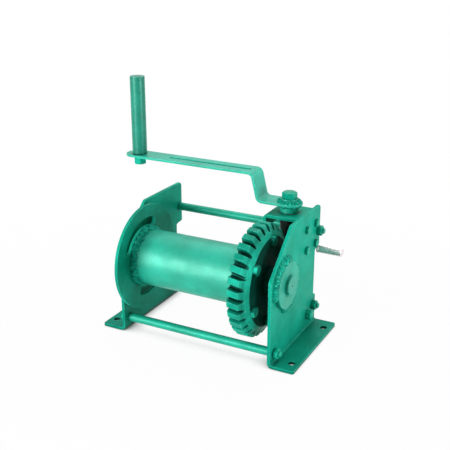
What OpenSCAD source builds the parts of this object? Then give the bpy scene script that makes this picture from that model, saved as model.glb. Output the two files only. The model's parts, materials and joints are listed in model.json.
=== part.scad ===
// Hand winch with a worm gear: a rope drum between two bent side plates,
// turned by an upright worm shaft with a crank on top.
// X runs along the drum, Y to the back, Z up.
// The origin is the centre of the four foot holes, on the ground.

/* [Side plates] */
// Clear distance between the two side plates
plate_gap = 224; // [216:1:260]
// Thickness of each side plate
plate_t = 4.5; // [3:0.5:6]
// Height of the side plates
plate_h = 180; // [178:0.5:183]
// Distance from the worm axis to the back edge of the plates' ear
ear_reach = 29.9; // [29:0.1:36]
// Depth of the side plates between ear and foot
waist_depth = 149; // [146:1:155]
// Height of the front edge, where the slope starts
front_h = 122.5; // [110:0.5:140]
// Distance from the front edge to the top end of the slope
shoulder_depth = 64.4; // [50:0.2:80]
// Distance from the top tie rod's axis down to the ear's lower edge
ear_drop = 24.7; // [23:0.1:30]
// Height at which the back edge steps out to the foot
skirt_h = 48; // [44:1:70]
// Radius of the rounded plate corners
corner_r = 6; // [2:0.5:8]
// Radius of the rounded foot corners
foot_corner_r = 3; // [1:0.5:8]

/* [Feet] */
// Width of each foot, from the plate's inner face
foot_w = 38; // [34:0.5:50]
// Depth of the feet
foot_depth = 157; // [157:1:180]
// Inner radius of the bend between plate and foot
bend_r = 3; // [1:0.5:5]
// Diameter of the foot holes
foot_hole_d = 10; // [7:0.5:12]
// Distance between the foot holes, front to back
foot_hole_pitch = 115; // [100:1:125]
// Distance from the front edge to the front foot holes
foot_hole_edge = 20; // [14:0.5:28]
// Distance from the foot's outer edge to the hole centres
foot_hole_inset = 10.5; // [8:0.5:14]

/* [Tie rods] */
// Diameter of the tie rods
rod_d = 12; // [11:0.5:14]
// Diameter of the rods' threaded ends
rod_thread_d = 8; // [7:0.5:9]
// Length of thread that stands out of each rod nut
rod_end = 3.2; // [1:0.1:5]

/* [Drum] */
// Distance from the plates' front edge to the drum axis
drum_axis_depth = 44.1; // [42:0.1:50]
// Height of the drum axis
drum_z = 104; // [98:0.5:106]
// Outer diameter of the drum tube
drum_d = 80; // [64:0.5:82]
// Wall of the drum tube
drum_wall = 4.2; // [3:0.1:8]
// Diameter of the drum's left flange
flange_d = 151.5; // [146:0.5:156]
// Thickness of the drum's left flange
flange_t = 4.5; // [3:0.5:6]
// Distance from the left plate to the left flange
flange_gap = 9; // [6:0.5:14]
// Radius on which the flange slots lie
slot_r = 51.5; // [51:0.5:58]
// Width of the flange slots
slot_w = 12; // [8:0.5:12]
// Angle that each flange slot spans
slot_sweep = 80; // [40:5:120]
// Direction of the first flange slot, from the back and up
slot_dir = 111.5; // [0:0.5:180]
// Leg of the weld on the drum's flange
drum_weld = 4.5; // [3:0.5:4.5]
// Length of the weld along the drum tube
drum_weld_rise = 8; // [4:0.5:10]

/* [Drum shaft and bearings] */
// Diameter of the drum shaft
shaft_d = 25; // [20:0.5:28]
// Length of shaft that stands out of each bearing boss
shaft_out = 4.8; // [2:0.1:10]
// Diameter of the bearing bosses
boss_d = 64.5; // [56:0.5:70]
// Thickness of the bearing bosses
boss_t = 6; // [4:0.5:10]
// Wall of the bearing bushes
bush_wall = 2.5; // [2:0.5:4]
// Thickness of the bush collars
bush_flange_t = 2; // [1.5:0.5:3]
// Leg of the weld round the bearing bosses
boss_weld_leg = 5; // [3:0.5:6]
// Diameter of the hubs on the drum shaft
hub_d = 40; // [38:1:50]

/* [Worm gear] */
// Module of the worm gear
gear_module = 5; // [4.8:0.05:5]
// Number of teeth on the worm wheel
wheel_teeth = 30; // [29:1:30]
// Width of the worm wheel
wheel_w = 26; // [24:0.5:28]
// Distance from the worm wheel to the right plate
wheel_gap = 18; // [14:0.5:22]
// Height of the wheel's teeth above the pitch circle
wheel_addendum = 2.75; // [2:0.05:3]
// Width of the wheel's tooth gaps at the pitch circle
tooth_gap_w = 6.8; // [6.7:0.1:8.4]
// Width of the bevel on the wheel's right side
wheel_bevel = 9; // [6:0.5:11]
// Pitch radius of the worm
worm_pitch_r = 16; // [16:0.25:17]
// Height of the worm thread above the pitch circle
worm_addendum = 7; // [6:0.1:7.2]
// Radius of the worm's core
worm_core_r = 12.5; // [12:0.25:12.75]
// Length of the threaded part of the worm
worm_thread_len = 36; // [32:1:37]
// Width of the worm thread at its pitch radius
worm_thread_w = 4.8; // [4:0.1:4.9]
// Distance from the wheel's rim inward to the wheel bolts
wheel_bolt_inset = 8; // [8:0.5:12]

/* [Worm shaft and brackets] */
// Diameter of the worm shaft
worm_shaft_d = 20; // [16:0.5:20]
// Height of the upper bracket's top face
bracket_top_z = 172.2; // [171:0.1:173]
// Sheet thickness of the two brackets
bracket_t = 4.5; // [3:0.5:5]
// Reach of the upper bracket to the front of the worm axis
bracket_fore = 27.1; // [25:0.1:28]
// Reach of both brackets past the worm axis
bracket_reach = 28; // [26:0.5:32]
// Depth of the upper bracket's turned-down lip
bracket_lip = 20; // [12:1:24]
// Outer radius of the brackets' bends
bracket_bend = 5.5; // [5.5:0.5:9]
// Distance between the bracket bolts, front to back
bracket_bolt_dy = 33; // [30:0.5:36]
// Distance between the bracket bolts, up and down
bracket_bolt_dz = 30; // [26:0.5:34]
// Height of the lower bracket's top face
shelf_z = 50.5; // [47:0.5:54]

/* [Crank] */
// Height of the crank hub
crank_hub_h = 10.7; // [10.6:0.1:14]
// Diameter of the crank hub
crank_hub_d = 26; // [25:0.5:30]
// Width of the crank arm
arm_w = 34; // [30:0.5:40]
// Thickness of the crank arm
arm_t = 3.5; // [3:0.25:6]
// Distance from the worm axis to the grip axis
crank_r = 247; // [220:1:280]
// Rise of the crank arm from its lower to its upper part
arm_rise = 39.3; // [34:0.1:60]
// Distance from the worm axis to the foot of the rise
arm_rise_start = 42; // [36:0.5:50]
// Run of the slanting part of the arm
arm_rise_run = 9.5; // [4:0.5:16]
// Inner radius of the arm's bends
arm_bend = 6; // [3:0.5:7]
// Width of the long slot in the arm
arm_slot_w = 6.5; // [4.5:0.1:8]
// Distance from the worm axis to the slot's near end
arm_slot_start = 62; // [60:1:90]
// Length of the long slot in the arm
arm_slot_len = 130; // [60:1:150]

/* [Grip] */
// Outer diameter of the grip sleeve
grip_d = 22; // [20:0.1:28]
// Diameter of the grip spindle
spindle_d = 15.9; // [14:0.1:16]
// Length of the grip sleeve
grip_len = 116; // [90:1:140]

/* [Side stud] */
// Diameter of the bare side stud
stud_d = 12.5; // [9:0.5:12.5]
// Length of the side stud with its collar
stud_len = 37; // [25:0.5:45]
// Distance from the ear's back edge forward to the stud's axis
stud_inset = 5; // [4:0.5:8]
// Distance from the ear's lower edge down to the stud's axis
stud_drop = 3.2; // [2:0.2:5]
// Diameter of the stud's collar where it meets the ear
stud_collar_d = 13.5; // [13:0.5:16]

/* [Fits] */
// Radial clearance of a running fit
run_fit = 0.05; // [0.03:0.01:0.08]
// Radial clearance of a fixed fit
fixed_fit = 0.02; // [0.01:0.01:0.04]
// Radial clearance of a bolt in its hole
bolt_fit = 0.25; // [0.1:0.05:0.5]
// End clearance between pieces that turn against each other
end_gap = 0.3; // [0.2:0.05:0.5]

/* [Hidden] */
$fn = 64;

paint = [0.12, 0.62, 0.51];
dark_paint = [0.06, 0.45, 0.37];
steel = [0.75, 0.76, 0.78];
bronze = [0.72, 0.52, 0.28];

// Radii, widths across flats and heights of the fasteners
m6_r = 3;
m6_flats = 10;
m6_head = 4;
m6_nut = 5;
m8_r = 4;
m8_flats = 13;
m8_head = 5.3;
m8_nut = 6.8;
past_nut = 2;
shelf_bolt_head = 8;
crank_bolt_d = 12;
crank_bolt_len = 25;
crank_bolt_flats = 19;
crank_bolt_head = 9;
spindle_stud_d = 10;
spindle_nut_flats = 17;
spindle_nut_h = 12.4;
spindle_end = 1;

// Circles of the worm gear, and the flanks of gap and thread
root_gap = 0.5;
rim_t = 3.5;
wheel_pitch_r = gear_module * wheel_teeth / 2;
wheel_tip_r = wheel_pitch_r + wheel_addendum;
wheel_root_r = wheel_pitch_r - worm_addendum - root_gap;
rim_inner_r = wheel_root_r - rim_t;
wheel_bolt_r = rim_inner_r - wheel_bolt_inset;
wheel_bolt_phase = 23.5;
worm_tip_r = worm_pitch_r + worm_addendum;
worm_lead = PI * gear_module;
lead_angle = atan(worm_lead / (2 * PI * worm_pitch_r));
gap_flank = 14;
thread_flank = 13;

// Distances from the front edge; those at the back follow the worm axis
worm_depth = drum_axis_depth + wheel_pitch_r + worm_pitch_r;
ear_depth = worm_depth + ear_reach;
bracket_front = worm_depth - bracket_fore;
stud_depth = ear_depth - stud_inset;
shelf_fore = 22.1;
shelf_aft = 20.9;
shelf_front = worm_depth - shelf_fore;
shelf_back = worm_depth + shelf_aft;

// The three tie rods, as distance from the front edge and height
rod_top_inset = 6.4;
rod_back_aft = 11.9;
rod_top = [ear_depth - rod_top_inset, 142.7];
rod_front = [13.6, 17.3];
rod_back = [worm_depth + rod_back_aft, 31];
ear_low_h = rod_top[1] - ear_drop;

// The bracket bolts and the lower bracket's bolt and foot, measured the same way
bracket_bolt_fore = 3.6;
shelf_bolt_fore = 8.6;
bracket_bolt_mid = [worm_depth - bracket_bolt_fore, 142];
shelf_bolt = [worm_depth - shelf_bolt_fore, 24];
shelf_foot_z = 14;

// Where the frame lies
front_y = -(foot_hole_pitch / 2 + foot_hole_edge);
inner_x = plate_gap / 2;
outer_x = inner_x + plate_t;
foot_hole_x = inner_x + foot_w - foot_hole_inset;
ear_y = front_y + ear_depth;

// Where the drum and the wheel lie
drum_y = front_y + drum_axis_depth;
flange_x = -inner_x + flange_gap;
wheel_x = inner_x - wheel_gap - wheel_w;
wheel_end_x = wheel_x + wheel_w;
disc_inset = 4;
disc_t = 8;
disc_x = wheel_x + disc_inset;
web_x = disc_x + disc_t;
hub_end = inner_x - bush_flange_t - end_gap;
shaft_bevel = 1;
mark_r = 2;
mark_tip_r = 0.4;

// The pin lies midway between the wheel and the end of the hub
pin_x = (wheel_end_x + hub_end) / 2;
pin_d = 8;

// The runs of weld round the bearing bosses, by start angle
boss_weld_starts = [60, 250];
boss_weld_sweep = 140;

// Where the worm lies, and its bushes
worm_x = wheel_x + wheel_w / 2;
worm_y = front_y + worm_depth;
worm_bush_r = worm_shaft_d / 2 + run_fit + bush_wall;
worm_collar_r = 17;

// Heights up the worm shaft
washer_r = 12.5;
washer_t = 5.5;
crank_weld_leg = 4;
shaft_below = 3;
bracket_low_z = bracket_top_z - bracket_t;
worm_low_z = shelf_z + bush_flange_t + end_gap;
worm_high_z = bracket_low_z - bush_flange_t - end_gap;
worm_pin_d = 6;
worm_pin_z = worm_high_z - 8;
crank_low_z = bracket_top_z + end_gap;
arm_low_z = crank_low_z + crank_hub_h;
arm_low_top_z = arm_low_z + arm_t;
shaft_top_z = arm_low_top_z - end_gap;
bolt_head_z = arm_low_top_z + washer_t;
shaft_low_z = shelf_z - bracket_t - shaft_below;

// The upper part of the arm, and the grip
arm_high_z = arm_low_z + arm_rise;
arm_high_top_z = arm_high_z + arm_t;
grip_x = worm_x - crank_r;
grip_low_z = arm_high_top_z + end_gap;
grip_top_z = grip_low_z + grip_len;
grip_cap_t = 4;
spindle_top_z = grip_top_z - grip_cap_t - 2;
grip_screw_d = 5;
grip_screw_z = grip_low_z + 12;
groove_depth = 1.4;
groove_r = spindle_d / 2 - groove_depth;

// Unit vector along v
function unit(v) = v / norm(v);

// Points of one corner p between a and b, rounded with radius r
function corner(p, a, b, r, n) =
    r <= 0 ? [p] :
    let (
        u = unit(a - p),
        w = unit(b - p),
        half = acos(u * w) / 2,
        c = p + unit(u + w) * r / sin(half),
        s = p + u * r / tan(half) - c,
        e = p + w * r / tan(half) - c,
        a0 = atan2(s[1], s[0]),
        turn = (atan2(e[1], e[0]) - a0 + 540) % 360 - 180
    )
    [for (i = [0:n]) c + r * [cos(a0 + turn * i / n), sin(a0 + turn * i / n)]];

// Outline with each corner rounded by its own radius
function rounded(pts, radii, n = 6) =
    let (m = len(pts))
    [for (i = [0:m - 1]) each corner(pts[i], pts[(i + m - 1) % m], pts[(i + 1) % m], radii[i], n)];

// Normal on the left of the way from a to b
function left_normal(a, b) = let (d = unit(b - a)) [-d[1], d[0]];

// Path moved sideways by the distance o
function shifted(p, o) =
    let (last = len(p) - 1)
    [for (i = [0:last])
        let (
            n1 = left_normal(p[max(i - 1, 0)], p[max(i, 1)]),
            n2 = left_normal(p[min(i, last - 1)], p[min(i + 1, last)])
        )
        p[i] + o * (n1 + n2) / (1 + n1 * n2)];

function reversed(v) = [for (i = [len(v) - 1:-1:0]) v[i]];

// Place children with their own Z axis along +X, at a depth and a height
module along_x(x, depth, z) {
    translate([x, front_y + depth, z]) rotate([90, 0, 90]) children();
}

// Place children on the drum axis
module on_drum(x) {
    translate([x, drum_y, drum_z]) rotate([90, 0, 90]) children();
}

// Place children on the worm axis
module on_worm(z) {
    translate([worm_x, worm_y, z]) children();
}

module hex(flats, h) {
    cylinder(d = flats / cos(30), h = h, $fn = 6);
}

// Hexagon nut on a thread of radius r
module nut(flats, h, r) {
    difference() {
        hex(flats, h);
        translate([0, 0, -1]) cylinder(r = r + fixed_fit, h = h + 2);
    }
}

// Tube or washer
module ring(r_out, r_in, h) {
    difference() {
        cylinder(r = r_out, h = h);
        translate([0, 0, -1]) cylinder(r = r_in, h = h + 2);
    }
}

// Round bar with a small bevel at both ends
module bevelled_bar(r, h, c) {
    rotate_extrude() polygon([[0, 0], [r - c, 0], [r, c], [r, h - c], [r - c, h], [0, h]]);
}

// Bush with a collar at its foot
module bush(r_in, wall, h, collar_r) {
    rotate_extrude() polygon([
        [r_in, 0], [collar_r, 0], [collar_r, bush_flange_t], [r_in + wall, bush_flange_t],
        [r_in + wall, h], [r_in, h]
    ]);
}

// Weld of triangular section, on a tube of radius r, over the angle sweep
module weld_ring(r, leg, rise, sweep = 360) {
    rotate_extrude(angle = sweep) polygon([[r, 0], [r + leg, 0], [r, rise]]);
}

// Side plates
module plate_outline() {
    ear_step = 2;
    skirt_step = 4;
    polygon(rounded(
        [
            [0, -1], [0, front_h], [shoulder_depth, plate_h], [ear_depth, plate_h],
            [ear_depth, ear_low_h], [waist_depth, ear_low_h - ear_step], [waist_depth, skirt_h],
            [foot_depth, skirt_h - skirt_step], [foot_depth, -1]
        ],
        [0, corner_r, corner_r, corner_r, 2, 3, 4, 3, 0]
    ));
}

module plate_section() {
    polygon(rounded(
        [
            [0, 0], [foot_w, 0], [foot_w, plate_t], [plate_t, plate_t],
            [plate_t, plate_h + 1], [0, plate_h + 1]
        ],
        [bend_r + plate_t, 0, 0, bend_r, 0, 0]
    ));
}

module foot_plan() {
    back = ear_depth + 1;
    polygon(rounded(
        [[-1, 0], [foot_w, 0], [foot_w, foot_depth], [plate_t, foot_depth], [plate_t, back], [-1, back]],
        [0, foot_corner_r, foot_corner_r, 0, 0, 0]
    ));
}

// Right plate; the left one is its mirror image without the bracket's holes
module side_plate(with_bracket) {
    difference() {
        intersection() {
            translate([inner_x, front_y + ear_depth + 1, 0]) rotate([90, 0, 0])
                linear_extrude(ear_depth + 2) plate_section();
            translate([inner_x - 1, front_y, 0]) rotate([90, 0, 90])
                linear_extrude(foot_w + 2) plate_outline();
            translate([inner_x, front_y, -1]) linear_extrude(plate_h + 2) foot_plan();
        }
        on_drum(inner_x - 1)
            cylinder(r = shaft_d / 2 + run_fit + bush_wall + fixed_fit, h = plate_t + 2);
        for (p = [rod_top, rod_front, rod_back])
            along_x(inner_x - 1, p[0], p[1])
                cylinder(r = rod_thread_d / 2 + bolt_fit, h = plate_t + 2);
        for (y = [-1, 1])
            translate([foot_hole_x, y * foot_hole_pitch / 2, -1])
                cylinder(d = foot_hole_d, h = plate_t + 2);
        if (with_bracket) {
            at_bracket_bolts(inner_x - 1) cylinder(r = m6_r + bolt_fit, h = plate_t + 2);
            along_x(inner_x - 1, shelf_bolt[0], shelf_bolt[1])
                cylinder(r = m8_r + bolt_fit, h = plate_t + 2);
        }
    }
}

module left_side_plate() {
    color(paint) mirror([1, 0, 0]) side_plate(false);
}

module right_side_plate() {
    color(paint) side_plate(true);
}

// Tie rods, with a shoulder inside each plate and a thread outside
module tie_rod(p, right_in) {
    reach = outer_x + m8_nut + rod_end;
    along_x(-reach, p[0], p[1]) rotate_extrude() polygon([
        [0, 0], [rod_thread_d / 2, 0], [rod_thread_d / 2, reach - inner_x],
        [rod_d / 2, reach - inner_x], [rod_d / 2, reach + inner_x - right_in],
        [rod_thread_d / 2, reach + inner_x - right_in], [rod_thread_d / 2, 2 * reach],
        [0, 2 * reach]
    ]);
}

module tie_rod_top() {
    color(paint) tie_rod(rod_top, 0);
}

module tie_rod_front() {
    color(paint) tie_rod(rod_front, 0);
}

// The back rod's right end also clamps the lower bracket
module tie_rod_back() {
    color(paint) tie_rod(rod_back, bracket_t);
}

module tie_rod_nuts() {
    color(paint)
        for (p = [rod_top, rod_front, rod_back], x = [-outer_x - m8_nut, outer_x])
            along_x(x, p[0], p[1]) nut(m8_flats, m8_nut, rod_thread_d / 2);
}

// Bearings of the drum shaft
module bearing_boss() {
    on_drum(outer_x)
        ring(boss_d / 2, shaft_d / 2 + run_fit + bush_wall + fixed_fit, boss_t);
}

// Two runs of weld, with a gap low at the front
module boss_weld() {
    for (start = boss_weld_starts)
        on_drum(outer_x) rotate([0, 0, start])
            weld_ring(boss_d / 2, boss_weld_leg, boss_weld_leg, boss_weld_sweep);
}

module bearing_bush() {
    on_drum(inner_x - bush_flange_t)
        bush(shaft_d / 2 + run_fit, bush_wall, bush_flange_t + plate_t + boss_t, hub_d / 2);
}

module left_bearing_boss() {
    color(paint) mirror([1, 0, 0]) bearing_boss();
}

module right_bearing_boss() {
    color(paint) bearing_boss();
}

module left_boss_weld() {
    color(paint) mirror([1, 0, 0]) boss_weld();
}

module right_boss_weld() {
    color(paint) boss_weld();
}

module left_bearing_bush() {
    color(paint) mirror([1, 0, 0]) bearing_bush();
}

module right_bearing_bush() {
    color(paint) bearing_bush();
}

// Drum
module drum_tube() {
    color(paint) on_drum(flange_x + flange_t)
        ring(drum_d / 2, drum_d / 2 - drum_wall, disc_x - flange_x - flange_t);
}

// One curved slot with round ends
module flange_slot() {
    rotate([0, 0, -slot_sweep / 2]) rotate_extrude(angle = slot_sweep)
        translate([slot_r - slot_w / 2, -1]) square([slot_w, flange_t + 2]);
    for (a = [-slot_sweep / 2, slot_sweep / 2])
        rotate([0, 0, a]) translate([slot_r, 0, -1]) cylinder(d = slot_w, h = flange_t + 2);
}

module drum_flange() {
    color(paint) on_drum(flange_x) difference() {
        ring(flange_d / 2, shaft_d / 2 + fixed_fit, flange_t);
        for (a = [0, 180]) rotate([0, 0, slot_dir + a]) flange_slot();
    }
}

module drum_flange_weld() {
    color(paint) on_drum(flange_x + flange_t)
        weld_ring(drum_d / 2, drum_weld, drum_weld_rise);
}

module flange_collar() {
    color(dark_paint) on_drum(-hub_end) ring(hub_d / 2, shaft_d / 2 + fixed_fit, hub_end + flange_x);
}

// Disc on the drum's right end, with the hub that carries the wheel
module drum_end_disc() {
    color(dark_paint) difference() {
        on_drum(disc_x) {
            ring(rim_inner_r - fixed_fit, shaft_d / 2 + fixed_fit, disc_t);
            translate([0, 0, disc_t])
                ring(hub_d / 2, shaft_d / 2 + fixed_fit, hub_end - web_x);
        }
        at_wheel_bolts(disc_x - 1) cylinder(r = m8_r + bolt_fit, h = disc_t + 2);
        shaft_pin_hole();
    }
}

module drum_end_weld() {
    color(paint) on_drum(disc_x) mirror([0, 0, 1]) weld_ring(drum_d / 2, drum_weld, drum_weld);
}

module shaft_pin_hole() {
    translate([pin_x, drum_y, drum_z - hub_d])
        cylinder(r = pin_d / 2 + fixed_fit, h = 2 * hub_d);
}

module drum_shaft() {
    reach = outer_x + boss_t + shaft_out;
    color(dark_paint) difference() {
        on_drum(-reach) bevelled_bar(shaft_d / 2, 2 * reach, shaft_bevel);
        for (m = [0, 1]) mirror([m, 0, 0])
            on_drum(reach - mark_r) cylinder(r1 = mark_tip_r, r2 = mark_r, h = mark_r + 0.01);
        shaft_pin_hole();
    }
}

module drum_shaft_pin() {
    color(steel) translate([pin_x, drum_y, drum_z - hub_d / 2 + 1])
        cylinder(d = pin_d, h = hub_d - 2);
}

// Worm wheel
module at_wheel_bolts(x) {
    for (a = [0:60:300]) on_drum(x) rotate([0, 0, wheel_bolt_phase + a])
        translate([wheel_bolt_r, 0, 0]) children();
}

// One straight tooth gap across the rim, leaning with the worm's thread
module tooth_gap() {
    reach = wheel_w;
    low = wheel_root_r;
    high = wheel_tip_r + 1.5;
    half = function (r) tooth_gap_w / 2 + (r - wheel_pitch_r) * tan(gap_flank);
    translate([0, 0, wheel_w / 2]) rotate([-lead_angle, 0, 0]) translate([0, 0, -reach])
        linear_extrude(2 * reach) polygon([
            [low, -half(low)], [high, -half(high)], [high, half(high)], [low, half(low)]
        ]);
}

module worm_wheel() {
    face_r = rim_inner_r - 2.5;
    edge = 2;
    web_low = web_x - wheel_x;
    bore_r = hub_d / 2 + fixed_fit;
    color(paint) difference() {
        on_drum(wheel_x) difference() {
            rotate_extrude() polygon([
                [bore_r, web_low], [rim_inner_r, web_low], [rim_inner_r, 0],
                [wheel_tip_r - edge, 0], [wheel_tip_r, edge],
                [wheel_tip_r, wheel_w - wheel_bevel], [face_r, wheel_w], [bore_r, wheel_w]
            ]);
            for (i = [0:wheel_teeth - 1]) rotate([0, 0, i * 360 / wheel_teeth]) tooth_gap();
        }
        at_wheel_bolts(web_x - 1) cylinder(r = m8_r + bolt_fit, h = wheel_end_x - web_x + 2);
    }
}

module wheel_bolts() {
    length = wheel_end_x - disc_x + m8_nut + past_nut;
    color(dark_paint) at_wheel_bolts(wheel_end_x) {
        hex(m8_flats, m8_head);
        translate([0, 0, -length]) cylinder(r = m8_r, h = length);
    }
}

module wheel_nuts() {
    color(dark_paint) at_wheel_bolts(disc_x - m8_nut) nut(m8_flats, m8_nut, m8_r);
}

// Worm: a straight core with a right-hand thread
module worm_thread() {
    turns = worm_thread_len / worm_lead;
    steps = 90;
    foot_r = worm_core_r - 0.6;
    half = function (r) worm_thread_w / 2 - (r - worm_pitch_r) * tan(thread_flank);
    section = [
        [foot_r, -half(foot_r)], [worm_tip_r, -half(worm_tip_r)],
        [worm_tip_r, half(worm_tip_r)], [foot_r, half(foot_r)]
    ];
    points = [for (i = [0:steps], q = section)
        let (a = 360 * turns * (i / steps - 0.5))
        [q[0] * cos(a - 90), q[0] * sin(a - 90), q[1] + worm_lead * a / 360]];
    sides = [for (i = [0:steps - 1], j = [0:3])
        let (a = 4 * i + j, b = 4 * i + (j + 1) % 4)
        each [[a, b, b + 4], [a, b + 4, a + 4]]];
    last = 4 * steps;
    polyhedron(points, concat([[3, 2, 1, 0]], sides, [[last, last + 1, last + 2, last + 3]]));
}

module worm() {
    color(dark_paint) difference() {
        union() {
            on_worm(worm_low_z) cylinder(r = worm_core_r, h = worm_high_z - worm_low_z);
            on_worm(drum_z) worm_thread();
        }
        on_worm(worm_low_z - 1)
            cylinder(r = worm_shaft_d / 2 + fixed_fit, h = worm_high_z - worm_low_z + 2);
        worm_pin_hole();
    }
}

module worm_pin_hole() {
    on_worm(worm_pin_z) rotate([90, 0, 0]) translate([0, 0, -worm_core_r * 2])
        cylinder(r = worm_pin_d / 2 + fixed_fit, h = worm_core_r * 4);
}

module worm_pin() {
    length = 2 * worm_core_r - 1.5;
    color(steel) on_worm(worm_pin_z) rotate([90, 0, 0]) translate([0, 0, -length / 2])
        cylinder(d = worm_pin_d, h = length);
}

module worm_shaft() {
    hole = crank_bolt_len - washer_t + 2;
    color(dark_paint) difference() {
        on_worm(shaft_low_z)
            bevelled_bar(worm_shaft_d / 2, shaft_top_z - shaft_low_z, shaft_bevel);
        on_worm(shaft_top_z - hole)
            cylinder(r = crank_bolt_d / 2 + fixed_fit, h = hole + 1);
        worm_pin_hole();
    }
}

// Brackets of the worm shaft
module at_bracket_bolts(x) {
    for (y = [-1, 1], z = [-1, 1])
        along_x(x, bracket_bolt_mid[0] + y * bracket_bolt_dy / 2,
            bracket_bolt_mid[1] + z * bracket_bolt_dz / 2)
            children();
}

module upper_bracket() {
    left = worm_x - bracket_reach;
    t = bracket_t;
    path = rounded(
        [
            [left, bracket_top_z - bracket_lip], [left, bracket_top_z], [inner_x, bracket_top_z],
            [inner_x, ear_low_h], [inner_x - t, ear_low_h], [inner_x - t, bracket_low_z],
            [left + t, bracket_low_z], [left + t, bracket_top_z - bracket_lip]
        ],
        [0, bracket_bend, bracket_bend, 0, 0, bracket_bend - t, bracket_bend - t, 0]
    );
    color(paint) difference() {
        translate([0, ear_y, 0]) rotate([90, 0, 0])
            linear_extrude(ear_depth - bracket_front) polygon(path);
        on_worm(bracket_low_z - 1) cylinder(r = worm_bush_r + fixed_fit, h = t + 2);
        at_bracket_bolts(inner_x - t - 1) cylinder(r = m6_r + bolt_fit, h = t + 2);
        along_x(inner_x - t - 1, rod_top[0], rod_top[1])
            cylinder(r = rod_d / 2 + bolt_fit, h = t + 2);
    }
}

module upper_bush() {
    color(bronze) on_worm(bracket_low_z - bush_flange_t)
        bush(worm_shaft_d / 2 + run_fit, bush_wall, bush_flange_t + bracket_t, worm_collar_r);
}

module bracket_bolts() {
    length = plate_t + bracket_t + m6_nut + past_nut;
    color(paint) at_bracket_bolts(outer_x) {
        hex(m6_flats, m6_head);
        translate([0, 0, -length]) cylinder(r = m6_r, h = length);
    }
}

module bracket_nuts() {
    color(paint) at_bracket_bolts(inner_x - bracket_t - m6_nut) nut(m6_flats, m6_nut, m6_r);
}

module lower_bracket() {
    left = worm_x - bracket_reach;
    t = bracket_t;
    path = rounded(
        [
            [left, shelf_z - t], [left, shelf_z], [inner_x, shelf_z],
            [inner_x, shelf_foot_z], [inner_x - t, shelf_foot_z], [inner_x - t, shelf_z - t]
        ],
        [0, 0, bracket_bend, 0, 0, bracket_bend - t]
    );
    color(paint) difference() {
        translate([0, front_y + shelf_back, 0]) rotate([90, 0, 0])
            linear_extrude(shelf_back - shelf_front) polygon(path);
        on_worm(shelf_z - t - 1) cylinder(r = worm_bush_r + fixed_fit, h = t + 2);
        along_x(inner_x - t - 1, shelf_bolt[0], shelf_bolt[1])
            cylinder(r = m8_r + bolt_fit, h = t + 2);
        along_x(inner_x - t - 1, rod_back[0], rod_back[1])
            cylinder(r = rod_thread_d / 2 + bolt_fit, h = t + 2);
    }
}

module lower_bush() {
    color(bronze) on_worm(shelf_z + bush_flange_t) mirror([0, 0, 1])
        bush(worm_shaft_d / 2 + run_fit, bush_wall, bush_flange_t + bracket_t, worm_collar_r);
}

module lower_bracket_bolt() {
    length = plate_t + bracket_t + m8_nut + past_nut;
    color(paint) along_x(outer_x, shelf_bolt[0], shelf_bolt[1]) {
        hex(m8_flats, shelf_bolt_head);
        translate([0, 0, -length]) cylinder(r = m8_r, h = length);
    }
}

module lower_bracket_nut() {
    color(paint) along_x(inner_x - bracket_t - m8_nut, shelf_bolt[0], shelf_bolt[1])
        nut(m8_flats, m8_nut, m8_r);
}

// Crank
module crank_hub() {
    color(paint) on_worm(crank_low_z)
        ring(crank_hub_d / 2, worm_shaft_d / 2 + fixed_fit, crank_hub_h);
}

// Bar or slot with round ends, along -X from s0 to s1
module round_bar(s0, s1, w, h) {
    for (s = [s0, s1]) translate([-s, 0, 0]) cylinder(d = w, h = h);
    translate([-s1, -w / 2, 0]) cube([s1 - s0, w, h]);
}

module crank_arm() {
    half = arm_t / 2;
    tail = 2;
    tip = 4;
    low = arm_low_z + half;
    high = arm_high_z + half;
    path = [
        [-arm_w, low], [arm_rise_start, low],
        [arm_rise_start + arm_rise_run, high], [crank_r + arm_w, high]
    ];
    inside = arm_bend;
    outside = arm_bend + arm_t;
    section = rounded(
        concat(shifted(path, half), reversed(shifted(path, -half))),
        [0, inside, outside, 0, 0, inside, outside, 0]
    );
    color(paint) translate([worm_x, worm_y, 0]) difference() {
        intersection() {
            mirror([1, 0, 0]) translate([0, arm_w, 0]) rotate([90, 0, 0])
                linear_extrude(2 * arm_w) polygon(section);
            translate([0, 0, arm_low_z - 1])
                round_bar(-tail, crank_r + tip, arm_w, arm_rise + arm_t + 2);
        }
        translate([0, 0, arm_low_z - 1])
            cylinder(r = worm_shaft_d / 2 + fixed_fit, h = arm_t + 2);
        translate([-crank_r, 0, arm_high_z - 1])
            cylinder(r = spindle_stud_d / 2 + bolt_fit, h = arm_t + 2);
        translate([0, 0, arm_high_z - 1])
            round_bar(arm_slot_start, arm_slot_start + arm_slot_len, arm_slot_w, arm_t + 2);
    }
}

// The washer is welded to the arm and closes the shaft's end
module crank_weld() {
    color(paint) on_worm(arm_low_top_z) weld_ring(washer_r, crank_weld_leg, crank_weld_leg);
}

module crank_washer() {
    color(paint) on_worm(arm_low_top_z) ring(washer_r, crank_bolt_d / 2 + fixed_fit, washer_t);
}

module crank_bolt() {
    color(paint) {
        on_worm(bolt_head_z) hex(crank_bolt_flats, crank_bolt_head);
        on_worm(bolt_head_z - crank_bolt_len) cylinder(d = crank_bolt_d, h = crank_bolt_len);
    }
}

// Grip
module on_grip(z) {
    translate([grip_x, worm_y, z]) children();
}

module grip_spindle() {
    r = spindle_d / 2;
    stud = arm_t + spindle_nut_h + spindle_end;
    top = spindle_top_z - arm_high_top_z;
    groove = grip_screw_z - arm_high_top_z;
    half = grip_screw_d / 2 + 0.5;
    color(dark_paint) on_grip(arm_high_top_z) rotate_extrude() polygon([
        [0, -stud], [spindle_stud_d / 2, -stud], [spindle_stud_d / 2, 0], [r, 0],
        [r, groove - half], [groove_r, groove - half], [groove_r, groove + half],
        [r, groove + half], [r, top - 1], [r - 1, top], [0, top]
    ]);
}

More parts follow.
